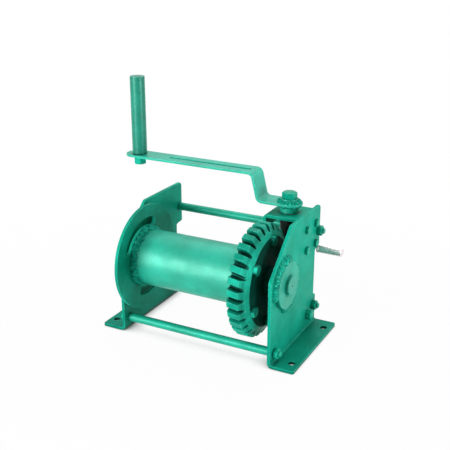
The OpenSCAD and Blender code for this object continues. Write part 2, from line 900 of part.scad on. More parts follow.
module spindle_nut() {
    color(paint) on_grip(arm_high_z - spindle_nut_h)
        nut(spindle_nut_flats, spindle_nut_h, spindle_stud_d / 2);
}

module grip_sleeve() {
    color(paint) difference() {
        on_grip(grip_low_z) ring(grip_d / 2, spindle_d / 2 + run_fit, grip_len);
        on_grip(grip_screw_z) rotate([-90, 0, 0])
            cylinder(r = grip_screw_d / 2 + fixed_fit, h = grip_d);
    }
}

module grip_cap() {
    color(paint) on_grip(grip_top_z - grip_cap_t)
        cylinder(r = spindle_d / 2 + run_fit - fixed_fit, h = grip_cap_t);
}

module grip_screw() {
    start = groove_r + 0.3;
    color(dark_paint) on_grip(grip_screw_z) rotate([-90, 0, 0]) translate([0, 0, start])
        cylinder(d = grip_screw_d, h = grip_d / 2 - 0.5 - start);
}

// Bare side stud, its collar welded to the ear's lower corner
module side_stud() {
    collar = 3.5;
    taper = 1.5;
    r = stud_d / 2;
    color(steel) along_x(outer_x, stud_depth, ear_low_h - stud_drop)
        rotate_extrude() polygon([
            [0, 0], [stud_collar_d / 2, 0], [stud_collar_d / 2, collar - taper], [r, collar],
            [r, stud_len - 1], [r - 1, stud_len], [0, stud_len]
        ]);
}

left_side_plate();
right_side_plate();
tie_rod_top();
tie_rod_front();
tie_rod_back();
tie_rod_nuts();
left_bearing_boss();
right_bearing_boss();
left_boss_weld();
right_boss_weld();
left_bearing_bush();
right_bearing_bush();
drum_tube();
drum_flange();
drum_flange_weld();
flange_collar();
drum_end_disc();
drum_end_weld();
drum_shaft();
drum_shaft_pin();
worm_wheel();
wheel_bolts();
wheel_nuts();
worm();
worm_shaft();
worm_pin();
upper_bracket();
upper_bush();
bracket_bolts();
bracket_nuts();
lower_bracket();
lower_bush();
lower_bracket_bolt();
lower_bracket_nut();
crank_hub();
crank_arm();
crank_weld();
crank_washer();
crank_bolt();
grip_spindle();
spindle_nut();
grip_sleeve();
grip_cap();
grip_screw();
side_stud();
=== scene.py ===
import json
import math

import bmesh
import bpy
from mathutils import Matrix, Vector, noise

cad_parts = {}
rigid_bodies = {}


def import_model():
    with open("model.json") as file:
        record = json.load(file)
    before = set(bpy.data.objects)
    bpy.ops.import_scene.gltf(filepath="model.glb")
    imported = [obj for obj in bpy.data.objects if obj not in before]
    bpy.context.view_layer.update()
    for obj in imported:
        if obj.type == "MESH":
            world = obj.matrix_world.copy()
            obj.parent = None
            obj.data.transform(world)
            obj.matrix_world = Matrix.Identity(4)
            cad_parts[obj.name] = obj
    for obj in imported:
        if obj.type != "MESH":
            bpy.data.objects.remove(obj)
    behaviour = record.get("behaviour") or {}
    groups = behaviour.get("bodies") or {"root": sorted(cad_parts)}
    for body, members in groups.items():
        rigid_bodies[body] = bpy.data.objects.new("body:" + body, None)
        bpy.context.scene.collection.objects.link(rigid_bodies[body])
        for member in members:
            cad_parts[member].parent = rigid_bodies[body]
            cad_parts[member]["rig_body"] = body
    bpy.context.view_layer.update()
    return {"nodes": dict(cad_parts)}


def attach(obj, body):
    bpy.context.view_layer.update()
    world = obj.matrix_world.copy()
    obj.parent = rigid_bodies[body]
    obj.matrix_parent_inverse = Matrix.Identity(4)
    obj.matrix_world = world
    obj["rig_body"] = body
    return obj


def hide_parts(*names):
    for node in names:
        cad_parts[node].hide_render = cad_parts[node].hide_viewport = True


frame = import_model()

# Places in metres, along the frame's axes, as in the CAD source
MM = 0.001
FRONT_Y = -77.5 * MM
INNER_X = 112 * MM
SHEET_T = 4.5 * MM
OUTER_X = INNER_X + SHEET_T
DRUM_Y, DRUM_Z = -33.4 * MM, 104 * MM
WORM_X, WORM_Y = 81 * MM, 57.6 * MM
GRIP_X = -166 * MM
WHEEL_LEFT, WHEEL_RIGHT = 72 * MM, 94 * MM

# Directions a turned piece can stand in: its own Z axis points this way
UP = Matrix.Identity(3)
RIGHT = Matrix(((0, 0, 1), (1, 0, 0), (0, 1, 0)))
LEFT = Matrix(((0, 0, -1), (1, 0, 0), (0, -1, 0)))


def stand(direction, x, y, z):
    return Matrix.Translation((x, y, z)) @ direction.to_4x4()


def turned(degrees):
    return Matrix.Rotation(math.radians(degrees), 4, "Z")


UPSIDE_DOWN = Matrix.Rotation(math.pi, 4, "X")


# Material helpers

def calculated(tree, operation, *values):
    made = tree.nodes.new("ShaderNodeMath")
    made.operation = operation
    for socket, value in zip(made.inputs, values):
        if isinstance(value, float):
            socket.default_value = value
        else:
            tree.links.new(value, socket)
    return made.outputs[0]


def noise_of(tree, where, scale, detail, rough):
    made = tree.nodes.new("ShaderNodeTexNoise")
    made.inputs["Scale"].default_value = scale
    made.inputs["Detail"].default_value = detail
    made.inputs["Roughness"].default_value = rough
    tree.links.new(where, made.inputs["Vector"])
    return made.outputs["Fac"]


def mapped(tree, value, source, target):
    """Maps a value from its source range to the target range and stops at both ends."""
    made = tree.nodes.new("ShaderNodeMapRange")
    tree.links.new(value, made.inputs["Value"])
    for key, number in zip(("From Min", "From Max", "To Min", "To Max"), (*source, *target)):
        made.inputs[key].default_value = number
    return made.outputs["Result"]


def mixed(tree, factor, a, b, blend="MIX"):
    made = tree.nodes.new("ShaderNodeMix")
    made.data_type = "RGBA"
    made.blend_type = blend
    sockets = {s.name + s.type: s for s in made.inputs if s.enabled}
    for key, value in (("FactorVALUE", factor), ("ARGBA", a), ("BRGBA", b)):
        socket = sockets[key]
        if isinstance(value, bpy.types.NodeSocket):
            tree.links.new(value, socket)
        elif isinstance(value, float):
            socket.default_value = value
        else:
            socket.default_value = (*value, 1.0)
    return next(s for s in made.outputs if s.enabled)


def bumped(tree, height, strength, distance, below=None):
    made = tree.nodes.new("ShaderNodeBump")
    made.inputs["Strength"].default_value = strength
    made.inputs["Distance"].default_value = distance
    tree.links.new(height, made.inputs["Height"])
    if below is not None:
        tree.links.new(below, made.inputs["Normal"])
    return made.outputs["Normal"]


def axes_of(tree, where):
    split = tree.nodes.new("ShaderNodeSeparateXYZ")
    tree.links.new(where, split.inputs[0])
    return split.outputs


def length_of(tree, vector):
    made = tree.nodes.new("ShaderNodeVectorMath")
    made.operation = "LENGTH"
    tree.links.new(vector, made.inputs[0])
    return made.outputs["Value"]


def openness(tree, distance, samples):
    """1 in the open, less in hollows and near other surfaces."""
    hollow = tree.nodes.new("ShaderNodeAmbientOcclusion")
    hollow.samples = samples
    hollow.inputs["Distance"].default_value = distance
    return hollow.outputs["AO"]


def start_material(name):
    material = bpy.data.materials.new(name)
    material.use_nodes = True
    tree = material.node_tree
    where = tree.nodes.new("ShaderNodeTexCoord").outputs["Object"]
    return material, tree, tree.nodes["Principled BSDF"], where


# Where painted shade on the enamel fades, each from one place to another: corners by their openness, the
# foot by height, the wheel's right face by radius and by X, the gaps between its teeth by radius and by X
CORNER_BAND, CORNER_REACH, CORNER_SHADE = (0.25, 0.8), 10 * MM, 0.2
FOOT_SHADE_BAND = (5 * MM, 80 * MM)
RECESS_SHADE_RADIUS, RECESS_SHADE_X = (61.0 * MM, 62.2 * MM), (92.5 * MM, 93.3 * MM)
GAP_SHADE_RADIUS, GAP_SHADE_X = (69 * MM, 75 * MM), (84 * MM, 90 * MM)


def drum_radius(tree, y, z):
    """Distance from the drum's axis."""
    flat = tree.nodes.new("ShaderNodeCombineXYZ")
    tree.links.new(calculated(tree, "SUBTRACT", y, DRUM_Y), flat.inputs["Y"])
    tree.links.new(calculated(tree, "SUBTRACT", z, DRUM_Z), flat.inputs["Z"])
    return length_of(tree, flat.outputs[0])


def painted_shade(tree, where, foot, recess_shade, gap_shade):
    """What the painted shade leaves of the paint's brightness: darker in corners, towards the ground, on
    the wheel's right face and between its teeth.
    """
    # Painted shade: darker in corners and hollows, from ambient occlusion
    shade = mapped(tree, openness(tree, CORNER_REACH, samples=4), CORNER_BAND, (CORNER_SHADE, 1.0))
    x, y, z = axes_of(tree, where)
    # Painted shade: darker towards the ground
    if foot < 1:
        shade = calculated(tree, "MULTIPLY", shade, mapped(tree, z, FOOT_SHADE_BAND, (foot, 1.0)))
    # Painted shade on the wheel's right face, in the recess by the right plate
    if recess_shade < 1:
        inside = mapped(tree, drum_radius(tree, y, z), RECESS_SHADE_RADIUS, (1.0, 0.0))
        face = calculated(tree, "MULTIPLY", inside, mapped(tree, x, RECESS_SHADE_X, (0.0, 1.0)))
        shade = calculated(tree, "MULTIPLY", shade, mapped(tree, face, (0.0, 1.0), (1.0, recess_shade)))
    # Painted shade in the gaps between the wheel's teeth, left off their bevelled ends
    if gap_shade < 1:
        gap = mapped(tree, drum_radius(tree, y, z), GAP_SHADE_RADIUS, (gap_shade, 1.0))
        beside = mapped(tree, x, GAP_SHADE_X, (0.0, 1.0))
        shade = calculated(tree, "MULTIPLY", shade, calculated(tree, "MAXIMUM", gap, beside))
    return shade


# Tint of the highlights on dull and on glossy enamel, and colour of the lighter paint along rounded
# edges: thin paint worn through, and a painted highlight
DULL_SHEEN = (0.10, 0.85, 0.68, 1.0)
CLEAR_SHEEN = (0.75, 1.0, 0.96, 1.0)
TEAL_WORN_EDGE_AND_HIGHLIGHT = (0.110, 0.700, 0.550)


def enamel(
    name, light, dark, rough=0.42, peel=0.16, lump=0.2, gloss=0.3, sheen=DULL_SHEEN,
    foot=1.0, recess_shade=1.0, gap_shade=1.0
):
    """Sprayed enamel: mottled tone, orange peel, lighter paint along edges for thin paint and a painted
    highlight, painted shade in corners.

    The last three say what painted shade leaves of the paint's brightness: towards the ground, on the
    wheel's right face and between the wheel's teeth.
    """
    material, tree, shader, where = start_material(name)
    mottle = noise_of(tree, where, scale=22.0, detail=4.0, rough=0.55)
    tone = mixed(tree, mapped(tree, mottle, (0.34, 0.66), (0.0, 1.0)), dark, light)
    fleck = noise_of(tree, where, scale=260.0, detail=3.0, rough=0.6)
    flecked = mixed(tree, mapped(tree, fleck, (0.35, 0.65), (0.0, 0.35)), tone, dark)
    edge = tree.nodes.new("ShaderNodeAttribute")
    edge.attribute_name = "edge"
    chips = noise_of(tree, where, scale=420.0, detail=4.0, rough=0.7)
    broken = mapped(tree, chips, (0.42, 0.58), (0.0, 0.75))
    # Lighter paint along the rounded edges: thin paint worn through, and a painted highlight
    worn_and_highlighted = mixed(tree, calculated(tree, "MULTIPLY", edge.outputs["Fac"], broken), flecked, TEAL_WORN_EDGE_AND_HIGHLIGHT)
    # Painted shade: in corners, towards the ground, on the wheel's right face and between its teeth
    shade = painted_shade(tree, where, foot, recess_shade, gap_shade)
    grey = tree.nodes.new("ShaderNodeCombineColor")
    for channel in ("Red", "Green", "Blue"):
        tree.links.new(shade, grey.inputs[channel])
    tree.links.new(mixed(tree, 1.0, worn_and_highlighted, grey.outputs[0], "MULTIPLY"), shader.inputs["Base Color"])
    smear = noise_of(tree, where, scale=70.0, detail=4.0, rough=0.6)
    roughness = mapped(tree, smear, (0.3, 0.7), (rough - 0.05, rough + 0.09))
    tree.links.new(roughness, shader.inputs["Roughness"])
    wave = noise_of(tree, where, scale=120.0, detail=2.0, rough=0.5)
    grain = noise_of(tree, where, scale=620.0, detail=2.0, rough=0.45)
    skin = bumped(tree, grain, peel, 0.12 * MM, below=bumped(tree, wave, lump, 0.5 * MM))
    tree.links.new(skin, shader.inputs["Normal"])
    shader.inputs["Metallic"].default_value = 0.12
    shader.inputs["Specular IOR Level"].default_value = gloss
    shader.inputs["Specular Tint"].default_value = sheen
    return material


def turned_metal(name, tone, rough, axis, groove):
    """Bare lathe-turned metal: fine rings along its axis, a few darker spots."""
    material, tree, shader, where = start_material(name)
    ring = tree.nodes.new("ShaderNodeTexNoise")
    ring.noise_dimensions = "1D"
    ring.inputs["Scale"].default_value = 2600.0
    ring.inputs["Detail"].default_value = 2.0
    tree.links.new(axes_of(tree, where)[axis], ring.inputs["W"])
    rings = ring.outputs["Fac"]
    spots = noise_of(tree, where, scale=330.0, detail=5.0, rough=0.65)
    dark = tuple(c * 0.45 for c in tone)
    spotted = mixed(tree, mapped(tree, spots, (0.45, 0.7), (0.0, 0.55)), tone, dark)
    tree.links.new(spotted, shader.inputs["Base Color"])
    roughness = mapped(tree, rings, (0.3, 0.7), (rough - 0.08, rough + 0.12))
    tree.links.new(roughness, shader.inputs["Roughness"])
    tree.links.new(bumped(tree, rings, groove, 0.05 * MM), shader.inputs["Normal"])
    shader.inputs["Metallic"].default_value = 1.0
    return material


# Materials

TEAL_LIGHT = (0.010, 0.500, 0.348)
TEAL_DARK = (0.004, 0.330, 0.215)
# A lighter copy of the teal for the crank: painted light on its upper faces
LIT_CRANK_LIGHT = (0.011, 0.530, 0.375)
LIT_CRANK_DARK = (0.005, 0.370, 0.250)
# A darker copy of the teal for the grip: painted shade
SHADED_GRIP_LIGHT = (0.006, 0.310, 0.216)
SHADED_GRIP_DARK = (0.002, 0.205, 0.133)
CAST_LIGHT = (0.012, 0.500, 0.350)
# A darker copy of the teal for the flange and drum end: painted shade
SHADED_FLANGE_LIGHT = (0.010, 0.440, 0.305)
CAST_DARK = (0.003, 0.240, 0.155)

# Sheet paint is darker towards the ground as painted shade
sheet_paint = enamel("sheet_enamel", TEAL_LIGHT, TEAL_DARK, peel=0.3, gloss=0.08, foot=0.72)
drum_paint = enamel(
    "drum_enamel", TEAL_LIGHT, TEAL_DARK, peel=0.3, lump=0.3, gloss=0.7, sheen=CLEAR_SHEEN
)
# Darker copy for the flange and drum end, and darker on the wheel's right face, both painted shade
shaded_flange_paint = enamel("shaded_flange_enamel", SHADED_FLANGE_LIGHT, CAST_DARK, gloss=0.08, recess_shade=0.2)
# Painted shade on the wheel's right face and in the gaps between its teeth
gear_paint = enamel(
    "cast_enamel", CAST_LIGHT, CAST_DARK, peel=0.3, lump=0.55, gloss=0.2, recess_shade=0.12, gap_shade=0.26
)
# Lighter copy for the crank, as painted light
lit_crank_paint = enamel("lit_crank_enamel", LIT_CRANK_LIGHT, LIT_CRANK_DARK, rough=0.40, gloss=0.5, sheen=CLEAR_SHEEN)
# Darker copy for the grip, as painted shade
shaded_grip_paint = enamel("shaded_grip_enamel", SHADED_GRIP_LIGHT, SHADED_GRIP_DARK, rough=0.36, gloss=0.5, sheen=CLEAR_SHEEN)
rod_paint = enamel("rod_enamel", TEAL_LIGHT, TEAL_DARK, peel=0.3, gloss=0.4, sheen=CLEAR_SHEEN)
weld_paint = enamel("weld_enamel", TEAL_LIGHT, CAST_DARK, rough=0.32, peel=0.4, lump=0.7)
# Painted shade on the bolt heads in the wheel's recess
bolt_paint = enamel("fastener_enamel", TEAL_LIGHT, TEAL_DARK, rough=0.36, lump=0.15, recess_shade=0.35)

ALONG_X, ALONG_Z = 0, 2
stud_steel = turned_metal("turned_steel", (0.88, 0.78, 0.80), 0.36, ALONG_X, 0.5)
pin_steel = turned_metal("oiled_steel", (0.42, 0.41, 0.40), 0.32, ALONG_Z, 0.25)
# Greased steel, its near-black tone also painted shade in the wheel's recess
greased_shaded_worm_steel = turned_metal("greased_and_shaded_steel", (0.018, 0.026, 0.023), 0.5, ALONG_Z, 0.2)
bush_bronze = turned_metal("bush_bronze", (0.30, 0.19, 0.08), 0.4, ALONG_Z, 0.3)


# Mesh helpers

WELD_DISTANCE = 0.004 * MM
FLAT_ANGLE, CREASE_ANGLE = math.radians(0.5), math.radians(28)


def keep(bm, name, material, body, nodes=(), sharp=38):
    """Makes the piece from its mesh, rides it on its body and lets it stand for its CAD nodes."""
    bmesh.ops.recalc_face_normals(bm, faces=bm.faces)
    mesh = bpy.data.meshes.new(name)
    bm.to_mesh(mesh)
    bm.free()
    mesh.shade_smooth()
    mesh.set_sharp_from_angle(angle=math.radians(sharp))
    mesh.materials.append(material)
    piece = bpy.data.objects.new(name, mesh)
    bpy.context.scene.collection.objects.link(piece)
    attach(piece, body)
    if nodes:
        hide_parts(*nodes)
    return piece


def softened(node, material, width, steps=3):
    """A copy of a CAD node, its edges rounded by width, in mm, and the rounded strips marked for lighter
    paint: wear and a painted highlight.
    """
    source = frame["nodes"][node]
    bm = bmesh.new()
    bm.from_mesh(source.data)
    bmesh.ops.remove_doubles(bm, verts=bm.verts, dist=WELD_DISTANCE)
    bmesh.ops.dissolve_limit(
        bm, angle_limit=FLAT_ANGLE, verts=bm.verts, edges=bm.edges, use_dissolve_boundaries=False
    )
    edges = [e for e in bm.edges if len(e.link_faces) == 2 and e.calc_face_angle() > CREASE_ANGLE]
    strip = bmesh.ops.bevel(
        bm, geom=edges, offset=width * MM, offset_type="OFFSET", segments=steps, profile=0.5,
        affect="EDGES", clamp_overlap=False, loop_slide=True
    )
    rounded = set(strip["faces"])
    layer = bm.verts.layers.float.new("edge")
    for v in bm.verts:
        if v.link_faces and all(f in rounded for f in v.link_faces):
            v[layer] = 1.0
    piece = keep(bm, node + "_shell", material, source["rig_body"], (node,), sharp=50)
    weighted = piece.modifiers.new("weighted", "WEIGHTED_NORMAL")
    weighted.keep_sharp = True


def ring_row(bm, place, angle, points):
    """Corners of one section, from (radius, height) in mm, at that angle about the place's own Z axis."""
    c, s = math.cos(angle), math.sin(angle)
    return [bm.verts.new(place @ Vector((r * c * MM, r * s * MM, z * MM))) for r, z in points]


def lathe(bm, place, profile, steps):
    """Turns a profile of (radius, height), in mm, about the place's own Z axis."""
    rings = []
    for radius, height in profile:
        count = steps if radius > 0 else 1
        rings.append([
            ring_row(bm, place, 2 * math.pi * i / steps, [(radius, height)])[0] for i in range(count)
        ])
    for low, high in zip(rings, rings[1:]):
        for i in range(steps):
            j = (i + 1) % steps
            corners = [low[i % len(low)], low[j % len(low)], high[j % len(high)], high[i % len(high)]]
            distinct = list(dict.fromkeys(corners))
            if len(distinct) > 2:
                bm.faces.new(distinct)


HEX_STEPS = 72
HEX_RIM, HEX_CORNER = 0.94, 0.985
HEX_CHAMFER = math.tan(math.radians(30))


def hexagon(bm, place, flats, height, bore=0.0):
    """Hex nut, chamfered at both ends, or without a bore a head, chamfered on top.

    HEX_RIM and HEX_CORNER say how far the chamfer's circle and the dulled corners reach, as parts of a
    sharp hexagon. What goes through the bore closes it.
    """
    flat = flats / 2
    rim = HEX_RIM * flat
    corner = HEX_CORNER * flat / math.cos(math.radians(30))
    edge, bore_chamfer = 0.05, 0.35
    rows = []
    for i in range(HEX_STEPS):
        angle = 360 * i / HEX_STEPS
        reach = min(flat / math.cos(math.radians(angle % 60 - 30)), corner)
        drop = (reach - rim) * HEX_CHAMFER
        foot = [(rim, 0.0), (reach, drop + edge)] if bore > 0 else [(reach, 0.0), (reach, edge)]
        top = [(reach, height - drop - edge), (rim, height)]
        middle = [(bore + bore_chamfer, height), (bore, height - bore_chamfer)]
        rows.append(ring_row(bm, place, math.radians(angle), [(bore, 0.0)] + foot + top + middle))
    for a, b in zip(rows, rows[1:] + rows[:1]):
        for k in range(len(a) - 1):
            bm.faces.new((a[k], b[k], b[k + 1], a[k + 1]))
        if bore > 0:
            bm.faces.new((a[-1], b[-1], b[0], a[0]))
    if bore == 0:
        for end in (0, -1):
            bmesh.ops.remove_doubles(bm, verts=[row[end] for row in rows], dist=0.001 * MM)


def threaded(radius, low, high, pitch, depth):
    """Profile of a thread from low to high, with a chamfered tip."""
    points = []
    turns = int((high - low - 0.8) / pitch)
    for k in range(turns):
        z = low + k * pitch
        points += [(radius - depth, z), (radius, z + 0.38 * pitch), (radius, z + 0.62 * pitch)]
    z = low + turns * pitch
    tip = [(radius - 0.1, z + 0.3), (radius - 0.15, high - 0.7), (radius - 0.9, high), (0, high)]
    return points + [(radius - depth, z)] + tip


def wobble(x, y, seed):
    return noise.noise(Vector((x, y, seed * 17.3)))


# A weld bead's corners per section, the step between sections, how much of each end tapers, and how deep
# it stands in tube and disc, in mm
BEAD_SIDES, BEAD_STEP, BEAD_TAPER = 9, 0.55, 12
SUNK_TUBE, SUNK_DISC = 0.4, 0.3


def bead(bm, place, radius, out, along, start, sweep, seed, pitch=3.2, rough=1.0):
    """Hand-laid weld between a disc at z 0 and a tube of that radius: ripples, lumps and uneven legs.

    Sizes are in mm: out is its leg on the disc, along its leg on the tube, pitch the length of a ripple.
    start and sweep are in degrees.
    """
    closed = sweep >= 360
    arc = math.radians(sweep) * radius
    count = max(12, int(arc / BEAD_STEP))
    rows = []
    for i in range(count if closed else count + 1):
        share = i / count
        angle = math.radians(start + sweep * share)
        u, v = math.cos(angle) * radius / 5.0, math.sin(angle) * radius / 5.0
        phase = share * round(arc / pitch) + 0.7 * wobble(u * 0.4, v * 0.4, seed + 3)
        ripple = math.sin(2 * math.pi * phase)
        ends = 1.0 if closed else min(1.0, 0.25 + 3.2 * min(share, 1 - share) * arc / BEAD_TAPER)
        uneven = 0.30 * wobble(u, v, seed) + 0.22 * wobble(u * 2.6, v * 2.6, seed + 1)
        a = out * (1 + rough * uneven) * ends
        uneven = 0.32 * wobble(u + 9, v, seed + 2) + 0.2 * wobble(u * 3, v * 3, seed + 4)
        b = along * (1 + rough * uneven) * ends
        row = []
        for k in range(BEAD_SIDES):
            t = k / (BEAD_SIDES - 1)
            lump = 0.20 + 0.05 * ripple + 0.10 * rough * wobble(u * 3 + t, v * 3, seed + 5)
            grain = 0.12 * rough * wobble(u * 7 + t * 2, v * 7, seed + 6)
            swell = (a + b) / 2 * math.sin(math.pi * t) * (lump + grain) * 0.7
            row.append((radius + a * (1 - t) + swell, b * t + swell))
        row += [(radius - SUNK_TUBE, b), (radius - SUNK_TUBE, -SUNK_DISC), (radius + a, -SUNK_DISC)]
        rows.append(ring_row(bm, place, angle, row))
    following = rows[1:] + rows[:1] if closed else rows[1:]
    for a, b in zip(rows, following):
        for k in range(len(a)):
            n = (k + 1) % len(a)
            bm.faces.new((a[k], b[k], b[n], a[n]))
    if not closed:
        bm.faces.new(rows[0])
        bm.faces.new(list(reversed(rows[-1])))


def weld(name, body, place, node=None, **laid):
    """A piece of its own for a closed weld bead."""
    bm = bmesh.new()
    bead(bm, place, start=0, sweep=360, **laid)
    keep(bm, name, weld_paint, body, (node,) if node else ())


# Fasteners, in mm: hexagon across flats, height of head and nut, radius of the nut's bore
M6_FLATS, M6_HEAD, M6_NUT, M6_BORE = 10, 4, 5, 2.8
M8_FLATS, M8_HEAD, M8_NUT, M8_BORE = 13, 5.3, 6.8, 3.8

# Their threads, in mm: radius, pitch and depth
M6_R, M6_THREAD_R, M6_PITCH, M6_DEPTH = 3, 2.95, 1.0, 0.4
M8_R, M8_PITCH, M8_DEPTH = 4.0, 1.25, 0.5

# A shank stands this deep in its head, and is plain as far as this through plate and bracket, in mm.
# Heads and nuts are turned by uneven angles, as if tightened by hand.
SHANK_SUNK, SHANK_PLAIN = 0.3, 9.2


# Frame: side plates, brackets, bosses and bushes

for node, material, slot, width in (
    ("left_side_plate", sheet_paint, "paint", 0.5),
    ("right_side_plate", sheet_paint, "paint", 0.5),
    ("upper_bracket", sheet_paint, "paint", 0.4),
    ("lower_bracket", sheet_paint, "paint", 0.4),
    ("left_bearing_boss", rod_paint, "paint", 0.8),
    ("right_bearing_boss", rod_paint, "paint", 0.8),
    ("left_bearing_bush", sheet_paint, "paint", 0.25),
    ("right_bearing_bush", sheet_paint, "paint", 0.25),
    ("upper_bush", bush_bronze, "bronze", 0.25),
    ("lower_bush", bush_bronze, "bronze", 0.25),
):
    softened(node, material, width)

# Tie rods: shoulders inside the plates, threads and nuts outside. The back one also clamps
# the lower bracket, so its shoulder stands further in on the right.
INNER, OUTER, SHEET = INNER_X / MM, OUTER_X / MM, SHEET_T / MM
ROD_R, ROD_END = 6.0, 3.2
rod_tip = threaded(M8_R, OUTER, OUTER + M8_NUT + ROD_END, M8_PITCH, M8_DEPTH)
rod_nuts = bmesh.new()
for number, (node, depth, height, clamped) in enumerate((
    ("tie_rod_top", 158.6, 142.7, 0),
    ("tie_rod_front", 13.6, 17.3, 0),
    ("tie_rod_back", 147.0, 31.0, SHEET),
)):
    y, z = FRONT_Y + depth * MM, height * MM
    profile = [(radius, -x) for radius, x in reversed(rod_tip)]
    profile += [(M8_R, -INNER), (ROD_R, -INNER), (ROD_R, INNER - clamped)]
    profile += [(M8_R, INNER - clamped)] + rod_tip
    bm = bmesh.new()
    lathe(bm, stand(RIGHT, 0, y, z), profile, steps=48)
    keep(bm, node + "_bar", rod_paint, "frame", (node,))
    for side, direction in ((1, RIGHT), (-1, LEFT)):
        turn = turned(11 + 17 * number * side)
        hexagon(rod_nuts, stand(direction, side * OUTER_X, y, z) @ turn, M8_FLATS, M8_NUT, M8_BORE)
keep(rod_nuts, "rod_nuts", bolt_paint, "frame", ("tie_rod_nuts",))

# Welds round the bearing bosses, two runs each
BOSS_WELD_R = 32.25
for name, side, direction, starts in (("right", 1, RIGHT, (60, 250)), ("left", -1, LEFT, (-200, -30))):
    place = stand(direction, side * OUTER_X, DRUM_Y, DRUM_Z)
    bm = bmesh.new()
    for start in starts:
        bead(bm, place, BOSS_WELD_R, out=7.5, along=5.4, start=start, sweep=140, seed=5 + side, pitch=4.6)
    keep(bm, name + "_boss_bead", weld_paint, "frame", (name + "_boss_weld",))

# Upper bracket's four bolts and nuts
BRACKET_DEPTH, BRACKET_HEIGHT = 131.5, 142
BRACKET_DY, BRACKET_DZ = 16.5, 15
BRACKET_TIP = 16
shank = [(0, -SHANK_SUNK), (M6_R, -SHANK_SUNK), (M6_R, SHANK_PLAIN)]
shank += threaded(M6_THREAD_R, SHANK_PLAIN, BRACKET_TIP, M6_PITCH, M6_DEPTH)
screws, nuts = bmesh.new(), bmesh.new()
for k, (back, up) in enumerate(((-1, -1), (-1, 1), (1, -1), (1, 1))):
    y = FRONT_Y + (BRACKET_DEPTH + back * BRACKET_DY) * MM
    z = (BRACKET_HEIGHT + up * BRACKET_DZ) * MM
    turn = turned(23 * k + 9)
    hexagon(screws, stand(RIGHT, OUTER_X, y, z) @ turn, M6_FLATS, M6_HEAD)
    hexagon(nuts, stand(LEFT, INNER_X - SHEET_T, y, z) @ turn, M6_FLATS, M6_NUT, M6_BORE)
    lathe(screws, stand(LEFT, OUTER_X, y, z), shank, steps=32)
keep(screws, "bracket_screws", bolt_paint, "frame", ("bracket_bolts",))
keep(nuts, "bracket_hex_nuts", bolt_paint, "frame", ("bracket_nuts",))

# Lower bracket's bolt and nut
LOWER_HEAD, LOWER_TIP = 8, 17.8
y, z = FRONT_Y + 126.5 * MM, 24 * MM
shank = [(0, -SHANK_SUNK), (M8_R, -SHANK_SUNK), (M8_R, SHANK_PLAIN)]
shank += threaded(M8_R, SHANK_PLAIN, LOWER_TIP, M8_PITCH, M8_DEPTH)
bm = bmesh.new()
hexagon(bm, stand(RIGHT, OUTER_X, y, z) @ turned(20), M8_FLATS, LOWER_HEAD)
lathe(bm, stand(LEFT, OUTER_X, y, z), shank, steps=40)
keep(bm, "lower_screw", bolt_paint, "frame", ("lower_bracket_bolt",))
bm = bmesh.new()
hexagon(bm, stand(LEFT, INNER_X - SHEET_T, y, z), M8_FLATS, M8_NUT, M8_BORE)
keep(bm, "lower_hex_nut", bolt_paint, "frame", ("lower_bracket_nut",))

softened("side_stud", stud_steel, 0.35)


# Drum

softened("drum_tube", drum_paint, 0.6)
for node in ("drum_flange", "flange_collar", "drum_end_disc"):
    softened(node, shaded_flange_paint, 0.4)
softened("drum_shaft", drum_paint, 0.3)
softened("drum_shaft_pin", pin_steel, 0.3)

DRUM_R, FLANGE_X = 40, -98.5 * MM
weld(
    "flange_bead", "drum", stand(RIGHT, FLANGE_X, DRUM_Y, DRUM_Z), "drum_flange_weld",
    radius=DRUM_R, out=4.4, along=8.0, seed=2, pitch=2.2, rough=1.5
)
weld(
    "end_bead", "drum", stand(LEFT, WHEEL_LEFT, DRUM_Y, DRUM_Z), "drum_end_weld",
    radius=DRUM_R, out=4.2, along=4.2, seed=8, rough=1.2
)

# Worm wheel with its bolts: heads on its right face, nuts on its left
softened("worm_wheel", gear_paint, 0.5)
WHEEL_BOLTS, WHEEL_BOLT_R, WHEEL_BOLT_START = 6, 56 * MM, 23.5
WHEEL_BOLT_IN, WHEEL_BOLT_TIP = 22.1, 8.8
shank = [(0, -WHEEL_BOLT_IN), (M8_R, -WHEEL_BOLT_IN), (M8_R, 0)]
shank += threaded(M8_R, 0.1, WHEEL_BOLT_TIP, M8_PITCH, M8_DEPTH)
screws, nuts = bmesh.new(), bmesh.new()
for k in range(WHEEL_BOLTS):
    angle = math.radians(WHEEL_BOLT_START + 360 / WHEEL_BOLTS * k)
    y, z = DRUM_Y + WHEEL_BOLT_R * math.cos(angle), DRUM_Z + WHEEL_BOLT_R * math.sin(angle)
    turn = turned(37 * k)
    nut_face = stand(LEFT, WHEEL_LEFT, y, z)
    hexagon(screws, stand(RIGHT, WHEEL_RIGHT, y, z) @ turn, M8_FLATS, M8_HEAD)
    hexagon(nuts, nut_face @ turn, M8_FLATS, M8_NUT, M8_BORE)
    lathe(screws, nut_face, shank, steps=36)
keep(screws, "wheel_screws", bolt_paint, "drum", ("wheel_bolts",))
keep(nuts, "wheel_hex_nuts", bolt_paint, "drum", ("wheel_nuts",))


# Crank, with the worm on its shaft

softened("worm", greased_shaded_worm_steel, 0.15, steps=2)
softened("worm_shaft", greased_shaded_worm_steel, 0.15)
softened("worm_pin", greased_shaded_worm_steel, 0.3)
softened("crank_hub", lit_crank_paint, 0.6)
softened("crank_arm", lit_crank_paint, 0.6)
softened("crank_washer", lit_crank_paint, 0.5)

